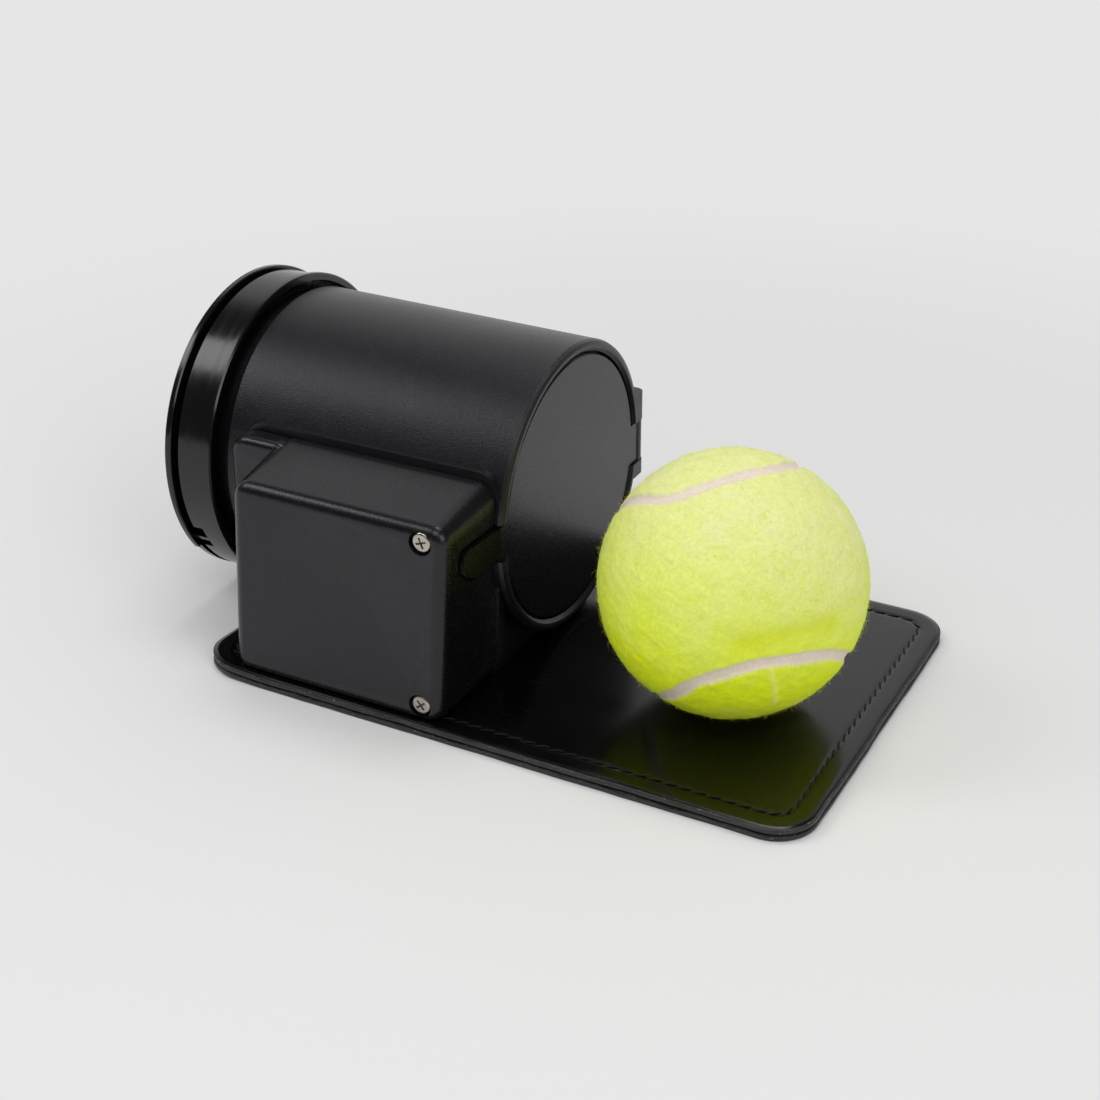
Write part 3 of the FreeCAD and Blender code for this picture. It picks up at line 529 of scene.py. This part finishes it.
def ply(name, z0, z1, phase, groove_top, groove_bottom):
    """One ply as rings of the outline: face with its seam groove, rounded edge, side and other face."""
    rings = []
    for d in FACE_INSETS:
        dip = groove_top * math.exp(-((d - SEAM_INSET) / GROOVE_HALF) ** 2)
        edge = FACE_DROP * eased((FACE_ROUND - d) / FACE_ROUND)
        rings.append((d, z1 - dip - edge))
    rings.append((0.0, z1 * 0.62 + z0 * 0.38))
    rings.append((0.0, z1 * 0.36 + z0 * 0.64))
    for d in reversed(FACE_INSETS):
        dip = groove_bottom * math.exp(-((d - SEAM_INSET) / GROOVE_HALF) ** 2)
        edge = UNDER_DROP * eased((UNDER_ROUND - d) / UNDER_ROUND)
        rings.append((d, z0 + dip + edge))
    bm = bmesh.new()
    rows = []
    for d, z in rings:
        row = []
        for x, y in outline(d):
            n = Vector((x, y)).normalized()
            w = -abs(ripple(x, y, phase)) * eased((0.004 - d) / 0.004) - 0.00002
            px = x + n.x * w
            py = y + n.y * w
            row.append(bm.verts.new((px, py, z + lift(px, py))))
        rows.append(row)
    first_side = len(FACE_INSETS) - 3
    last_side = len(FACE_INSETS) + 2
    for i in range(len(rows) - 1):
        a = rows[i]
        b = rows[i + 1]
        for k in range(len(a)):
            j = (k + 1) % len(a)
            quad = bm.faces.new((a[k], b[k], b[j], a[j]))
            quad.smooth = True
            quad.material_index = 1 if first_side <= i <= last_side else 0
    bm.faces.new(rows[0]).smooth = True
    bm.faces.new(list(reversed(rows[-1]))).smooth = True
    bmesh.ops.triangulate(bm, faces=[f for f in bm.faces if len(f.verts) > 4])
    bmesh.ops.recalc_face_normals(bm, faces=bm.faces)
    mesh = bpy.data.meshes.new(name)
    bm.to_mesh(mesh)
    bm.free()
    obj = bpy.data.objects.new(name, mesh)
    bpy.context.scene.collection.objects.link(obj)
    return obj


HAIR_SCRATCHES = ((0.5, 0.735), (1.9, 0.74), (2.7, 0.737))


def leather(name, base, low, high):
    """Coated leather: glossy, finely pored, faintly creased, with hair scratches in three directions."""
    mat, tree, surface = paint(name, base, low)
    scratches = None
    for turn, thick in HAIR_SCRATCHES:
        streak = noise(tree, 40.0, 3.0, stretch=(1.0, 60.0, 1.0), turn=(0, 0, turn), rough=0.4)
        patchy = noise(tree, 70.0 + 20 * turn, 2.0)
        line = ramp(tree, streak, thick - 0.03, thick + 0.02, 0.0, 1.0)
        here = ramp(tree, patchy, 0.5, 0.62, 0.0, 1.0)
        hair = both(tree, line, here, "MULTIPLY")
        scratches = hair if scratches is None else both(tree, scratches, hair, "MAXIMUM")
    specks = ramp(tree, cells(tree, 210.0), 0.06, 0.10, 1.0, 0.0)
    rare = ramp(tree, noise(tree, 120.0, 1.0), 0.60, 0.64, 0.0, 1.0)
    dust = both(tree, specks, rare, "MULTIPLY")
    marks = both(tree, scratches, dust, "MAXIMUM")
    gloss = ramp(tree, noise(tree, 38.0, 4.0), 0.35, 0.68, low, high)
    tree.links.new(both(tree, gloss, ramp(tree, marks, 0.0, 1.0, 0.0, 0.10)), surface.inputs["Roughness"])
    pale = tuple(c * 2.5 + 0.004 for c in base)
    tree.links.new(tinted(tree, marks, base, pale), surface.inputs["Base Color"])
    bumps(tree, surface, noise(tree, 160.0, 3.0), 0.00006, 0.25)
    bumps(tree, surface, cells(tree, 1400.0), 0.00002, 0.25)
    return mat


def raw_edge():
    """Cut leather, dyed and rubbed: near black, layered along the edge, with a few pale fibres."""
    mat, tree, surface = paint("leather_cut", (0.02, 0.02, 0.021), 0.5)
    layers = noise(tree, 500.0, 4.0, stretch=(0.35, 0.35, 4.0))
    fibre = ramp(tree, noise(tree, 1500.0, 3.0), 0.62, 0.74, 0.0, 1.0)
    layer = ramp(tree, layers, 0.35, 0.7, 0.0, 1.0)
    body = tinted(tree, layer, (0.007, 0.007, 0.0075), (0.032, 0.031, 0.030))
    tree.links.new(tinted(tree, fibre, body, (0.17, 0.165, 0.16)), surface.inputs["Base Color"])
    tree.links.new(ramp(tree, layers, 0.3, 0.7, 0.34, 0.60), surface.inputs["Roughness"])
    bumps(tree, surface, layers, 0.00022, 0.6)
    return mat


top_leather = leather("leather_face", (0.0012, 0.0012, 0.0014), 0.15, 0.23)
back_leather = leather("leather_back", (0.008, 0.008, 0.0085), 0.34, 0.5)
cut_edge = raw_edge()
top_ply = ply("mat_top_ply", z0=0.00186, z1=0.0036, phase=0.4, groove_top=0.00025, groove_bottom=0.0)
bottom_ply = ply("mat_bottom_ply", z0=0.0, z1=0.00172, phase=2.1, groove_top=0.0, groove_bottom=0.00055)
for obj, face in ((top_ply, top_leather), (bottom_ply, back_leather)):
    obj.data.materials.append(face)
    obj.data.materials.append(cut_edge)
    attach(obj, "launcher")
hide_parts("top_ply")
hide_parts("bottom_ply")


# Seam of the mat: heavy waxed black thread, sewn through both plies 6 mm in from the edge. Each stitch
# leans across the line and steps back through its hole, so both faces show a fine continuous zigzag.

def seam_points(inset, pitch):
    """Evenly spaced points and outward directions along the seam line."""
    pts = [Vector((x, y, 0)) for x, y in outline(inset, 200, 40)]
    pts.append(pts[0].copy())
    length = [0.0]
    for a, b in zip(pts, pts[1:]):
        length.append(length[-1] + (b - a).length)
    count = round(length[-1] / pitch)
    out = []
    k = 0
    for i in range(count):
        s = length[-1] * i / count
        while length[k + 1] < s:
            k += 1
        t = (s - length[k]) / (length[k + 1] - length[k])
        way = (pts[k + 1] - pts[k]).normalized()
        out.append((pts[k].lerp(pts[k + 1], t), Vector((way.y, -way.x, 0))))
    return out


STITCH_PITCH = 0.0038
STITCH_STEPS = 8
THREAD_SIDES = 8


def stitches(name, z, arch, lean, thick):
    """The whole seam of one face: each stitch arches over the leather and dips at its holes."""
    points = seam_points(SEAM_INSET, STITCH_PITCH)
    middle = []
    for i, (p, side) in enumerate(points):
        q, side_q = points[(i + 1) % len(points)]
        jog = lean * (1 + 0.2 * random.uniform(-1, 1))
        a = p + side * jog * 0.5
        b = q - side_q * jog * 0.5
        for s in range(STITCH_STEPS + 1):
            t = s / STITCH_STEPS
            c = a.lerp(b, 0.07 + 0.86 * t)
            high = arch * (math.sin(math.pi * (0.08 + 0.84 * t)) ** 0.6 - 0.75)
            middle.append((c.x, c.y, z + lift(c.x, c.y) + high))
        middle.append((q.x, q.y, z + lift(q.x, q.y) - arch * 1.15))
    bm = bmesh.new()
    loops = []
    for i, c in enumerate(middle):
        before = Vector(middle[i - 1])
        after = Vector(middle[(i + 1) % len(middle)])
        along = after - before
        across = Vector((-along.y, along.x, 0)).normalized()
        up = along.cross(across).normalized()
        if up.z < 0:
            up = -up
        ring = []
        for v in range(THREAD_SIDES):
            u = 2 * math.pi * v / THREAD_SIDES
            ring.append(bm.verts.new(Vector(c) + thick * (across * math.cos(u) + up * 0.8 * math.sin(u))))
        loops.append(ring)
    for i, one in enumerate(loops):
        two = loops[(i + 1) % len(loops)]
        for v in range(THREAD_SIDES):
            w = (v + 1) % THREAD_SIDES
            bm.faces.new((one[v], one[w], two[w], two[v])).smooth = True
    bmesh.ops.recalc_face_normals(bm, faces=bm.faces)
    mesh = bpy.data.meshes.new(name)
    bm.to_mesh(mesh)
    bm.free()
    obj = bpy.data.objects.new(name, mesh)
    bpy.context.scene.collection.objects.link(obj)
    return obj


def thread():
    """Twisted and waxed thread, nearly black."""
    mat, tree, surface = paint("waxed_thread", (0.002, 0.002, 0.0022), 0.6)
    surface.inputs["Specular IOR Level"].default_value = 0.3
    twist = tree.nodes.new("ShaderNodeTexWave")
    twist.inputs["Scale"].default_value = 520.0
    twist.inputs["Distortion"].default_value = 1.5
    twist.bands_direction = "DIAGONAL"
    tree.links.new(where(tree), twist.inputs["Vector"])
    bumps(tree, surface, twist.outputs["Fac"], 0.00008, 0.7)
    return mat


thread_mat = thread()
seam_top = stitches("mat_seam_top", z=0.00345, arch=0.00028, lean=0.0013, thick=0.00024)
seam_under = stitches("mat_seam_under", z=0.00036, arch=-0.0001, lean=0.0009, thick=0.00022)
for obj in (seam_top, seam_under):
    obj.data.materials.append(thread_mat)
    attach(obj, "launcher")


# Ball: optic-yellow felt over a hollow rubber core. Two felt halves meet along a pale rubber seam, which lies
# in a shallow channel and strays a little. The felt has a soft fold, a short nap and loose fibres.

BALL_AT = Vector((0.0469, -0.0096, 0.0372))
BALL_R = 0.03345
NAP = 0.00040
SEAM_SHAPE = 0.1754
SEAM_HALF_WIDTH = 0.00145
# Way towards the light: the felt's nap is painted paler on this side, a painted highlight.
PAINTED_LIGHT_WAY = (0.12, 0.16, 0.95)
SEAM_TURN = Euler((math.radians(141), math.radians(40.5), math.radians(-107.6)))
SEAM_STRAYS = [((-136, 58), 0.0085, (0.0011, -0.0024, -0.0006)),
               ((-40, 78.5), 0.006, (-0.0004, 0.0010, 0.0002)),
               ((-84, -21), 0.006, (0.0002, -0.0004, 0.0013)),
               ((-40, -4.5), 0.008, (0.0, 0.00015, -0.0010))]
CHANNEL_DEPTH = 0.00062
FOLD = [(-63, 3.8), (-45, 6.6), (-22, 6.2)]
FOLD_DEPTH = 0.00060
FOLD_HALF = 0.0030
JOINT = [(-51.2, -7), (-47.7, -20), (-44, -34)]
JOINT_RISE = 0.00018
JOINT_HALF = 0.0007


def facing(degrees_round, degrees_up):
    """Unit vector at an angle round the upright axis and an angle up."""
    a = math.radians(degrees_round)
    e = math.radians(degrees_up)
    return np.array([math.cos(e) * math.cos(a), math.cos(e) * math.sin(a), math.sin(e)])


def seam_line(count=900):
    """Unit points of the ball's closed seam as it lies in the world, with the places where it strays."""
    t = np.linspace(0, 2 * math.pi, count, endpoint=False)
    wide = 1 - SEAM_SHAPE
    high = 2 * math.sqrt(wide * SEAM_SHAPE)
    x = wide * np.cos(t) + SEAM_SHAPE * np.cos(3 * t)
    y = wide * np.sin(t) - SEAM_SHAPE * np.sin(3 * t)
    z = high * np.sin(2 * t)
    line = np.stack([x, y, z], 1) @ np.array(SEAM_TURN.to_matrix()).T
    for way, spread, stray in SEAM_STRAYS:
        near = np.exp(-(np.arccos(np.clip(line @ facing(*way), -1, 1)) * BALL_R / spread) ** 2)
        line = line + near[:, None] * np.array(stray) / BALL_R
    return line / np.linalg.norm(line, axis=1)[:, None]


def line_through(stops):
    """Unit points along a line over the ball through a few directions."""
    pts = []
    for one, two in zip(stops, stops[1:]):
        a = facing(*one)
        b = facing(*two)
        for k in range(24):
            p = a + (b - a) * k / 24
            pts.append(p / np.linalg.norm(p))
    return np.array(pts)


def distance(unit, line):
    """Distance in metres from each unit direction to a line, along the ball's surface."""
    out = np.empty(len(unit))
    for start in range(0, len(unit), 4000):
        part = unit[start:start + 4000]
        dots = np.clip(part @ line.T, -1, 1).max(1)
        out[start:start + 4000] = np.arccos(dots) * BALL_R
    return out


def wobble(unit, seed, count, sharp):
    """Smooth random field on the ball from a few plane waves."""
    rng = np.random.default_rng(seed)
    total = np.zeros(len(unit))
    for _ in range(count):
        k = rng.normal(size=3) * sharp
        total += np.sin(unit @ k + rng.uniform(0, 6.28))
    return total / math.sqrt(count)


def felt_cover():
    """Ball as a dense round mesh with its channel, fold, joint and lumps; seam, fold and joint are kept as
    marks, and so is the side painted paler as a painted highlight.
    """
    bm = bmesh.new()
    bmesh.ops.create_icosphere(bm, subdivisions=7, radius=1.0)
    mesh = bpy.data.meshes.new("ball_felt_cover")
    bm.to_mesh(mesh)
    bm.free()
    co = np.empty(len(mesh.vertices) * 3)
    mesh.vertices.foreach_get("co", co)
    unit = co.reshape(-1, 3)
    unit /= np.linalg.norm(unit, axis=1)[:, None]
    ragged = 0.00022 * wobble(unit, 3, 10, 9.0) + 0.00012 * wobble(unit, 4, 12, 60.0)
    d = distance(unit, seam_line()) + ragged
    channel = np.clip((SEAM_HALF_WIDTH + 0.0004 - d) / 0.0009, 0, 1)
    channel = channel * channel * (3 - 2 * channel)
    dent = np.exp(-(distance(unit, line_through(FOLD)) / FOLD_HALF) ** 2)
    joint = np.exp(-(distance(unit, line_through(JOINT)) / JOINT_HALF) ** 2)
    lumps = 0.00011 * wobble(unit, 5, 24, 24.0) + 0.00006 * wobble(unit, 6, 30, 75.0)
    radius = BALL_R - NAP - CHANNEL_DEPTH * channel + lumps * (1 - channel)
    radius += (JOINT_RISE * joint - FOLD_DEPTH * dent) * (1 - channel)
    place = unit * radius[:, None] + np.array(BALL_AT)
    mesh.vertices.foreach_set("co", place.ravel())
    marks = {"seam": np.clip(1 - (d - SEAM_HALF_WIDTH) / 0.0004, 0, 1),
             "joint": np.clip(joint * (1 - channel), 0, 1),
             "fold": np.clip(dent, 0, 1),
             "painted_light": unit @ np.array(PAINTED_LIGHT_WAY)}
    for name, values in marks.items():
        mark = mesh.attributes.new(name, "FLOAT", "POINT")
        mark.data.foreach_set("value", values)
    for poly in mesh.polygons:
        poly.use_smooth = True
    mesh.update()
    obj = bpy.data.objects.new("ball_felt_cover", mesh)
    bpy.context.scene.collection.objects.link(obj)
    return obj


def felt():
    """Felt with its nap, painted paler on the side towards the light as a painted highlight, painted shade in
    its fold, and the smooth rubber seam by its mask.
    """
    mat, tree, surface = paint("optic_felt", (0.62, 0.73, 0.03), 0.95)
    marks = {}
    for name in ("seam", "joint", "fold", "painted_light"):
        marks[name] = tree.nodes.new("ShaderNodeAttribute")
        marks[name].attribute_name = name
    fine = noise(tree, 1100.0, 4.0, rough=0.7)
    grain = ramp(tree, fine, 0.3, 0.7, 0.0, 1.0)
    nap = tinted(tree, grain, (0.66, 0.80, 0.003), (0.76, 0.87, 0.010))
    # Painted highlight: the nap turns to pale tips on the side towards the light, mixed with random paler and
    # darker patches.
    painted_lit_tips = tinted(tree, grain, (0.71, 0.73, 0.30), (0.78, 0.79, 0.38))
    painted_light = ramp(tree, marks["painted_light"].outputs["Fac"], -0.60, 0.90, 0.0, 1.0)
    patchy = ramp(tree, noise(tree, 70.0, 5.0, rough=0.6), 0.40, 0.68, -0.08, 0.12)
    nap_and_painted_light = tinted(tree, both(tree, painted_light, patchy), nap, painted_lit_tips)
    ridge = tinted(tree, marks["joint"].outputs["Fac"], nap_and_painted_light, (0.80, 0.84, 0.14))
    # Painted shade: the felt is drawn darker in the crease of the fold.
    shade = both(tree, marks["fold"].outputs["Fac"], 0.6, "MULTIPLY")
    fold_painted_shade = tinted(tree, shade, ridge, (0.66, 0.72, 0.002))
    rubber = tinted(tree, grain, (0.70, 0.60, 0.49), (0.76, 0.67, 0.56))
    tree.links.new(tinted(tree, marks["seam"].outputs["Fac"], fold_painted_shade, rubber), surface.inputs["Base Color"])
    surface.inputs["Sheen Weight"].default_value = 0.06
    surface.inputs["Sheen Roughness"].default_value = 0.5
    surface.inputs["Sheen Tint"].default_value = (0.95, 0.98, 0.6, 1)
    surface.inputs["Specular IOR Level"].default_value = 0.15
    surface.inputs["Subsurface Weight"].default_value = 0.15
    surface.inputs["Subsurface Radius"].default_value = (0.0015, 0.0015, 0.0003)
    bumps(tree, surface, fine, 0.0003, 0.5)
    bumps(tree, surface, noise(tree, 2600.0, 2.0), 0.00015, 0.5)
    return mat


def felt_fibres(count, seed, length_range, rise_range, half_width, curls):
    """Loose curved fibres as tapering ribbons that start in the felt; rise is how far they stand off."""
    rng = np.random.default_rng(seed)
    unit = rng.normal(size=(count, 3))
    unit /= np.linalg.norm(unit, axis=1)[:, None]
    unit = unit[distance(unit, seam_line()) > SEAM_HALF_WIDTH + 0.0003]
    n = len(unit)
    tangent = np.cross(unit, rng.normal(size=(n, 3)))
    tangent /= np.linalg.norm(tangent, axis=1)[:, None]
    curl = np.cross(unit, tangent)
    length = rng.uniform(*length_range, n)
    rise = rng.uniform(*rise_range, n)
    bend = rng.normal(size=n) * curls
    steps = 5
    verts = []
    for s in range(steps + 1):
        t = s / steps
        along = length * t
        off = BALL_R - 0.0005 + rise * math.sin(math.pi * 0.62 * t)
        sway = along * bend * t
        mid = unit * off[:, None] + tangent * along[:, None] + curl * sway[:, None]
        width = half_width * (1 - 0.7 * t)
        verts.append(mid - curl * width)
        verts.append(mid + curl * width)
    stack = np.stack(verts, 1).reshape(-1, 3) + np.array(BALL_AT)
    per = 2 * (steps + 1)
    faces = []
    for i in range(n):
        for s in range(steps):
            a = i * per + 2 * s
            faces.append((a, a + 1, a + 3, a + 2))
    return stack, faces


def fuzz_coat():
    """Short lying fibres all over and fewer long curled ones that stand up, in one mesh."""
    short, short_faces = felt_fibres(15000, seed=11, length_range=(0.0007, 0.0021),
                                     rise_range=(0.0001, 0.0007), half_width=0.000032, curls=0.55)
    long, long_faces = felt_fibres(1900, seed=12, length_range=(0.0010, 0.0028),
                                   rise_range=(0.0005, 0.0016), half_width=0.000023, curls=1.1)
    start = len(short)
    faces = short_faces + [tuple(v + start for v in f) for f in long_faces]
    mesh = bpy.data.meshes.new("ball_fibres")
    mesh.from_pydata(np.concatenate([short, long]).tolist(), [], faces)
    mesh.update()
    obj = bpy.data.objects.new("ball_fibres", mesh)
    bpy.context.scene.collection.objects.link(obj)
    return obj


def fibre():
    """Single wool and nylon fibres, the colour of the nap and paler at places."""
    mat, tree, surface = paint("felt_fibre", (0.68, 0.78, 0.08), 0.85)
    tip = ramp(tree, noise(tree, 300.0, 2.0), 0.3, 0.7, 0.0, 1.0)
    tree.links.new(tinted(tree, tip, (0.60, 0.77, 0.006), (0.80, 0.87, 0.07)), surface.inputs["Base Color"])
    surface.inputs["Specular IOR Level"].default_value = 0.1
    return mat


ball = felt_cover()
ball.data.materials.append(felt())
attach(ball, "ball")
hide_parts("ball_felt")
fuzz = fuzz_coat()
fuzz.data.materials.append(fibre())
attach(fuzz, "ball")
dress("ball_core", moulded("core_rubber", (0.05, 0.045, 0.04), (0.09, 0.08, 0.07), 0.7, 900.0, 0.00008))
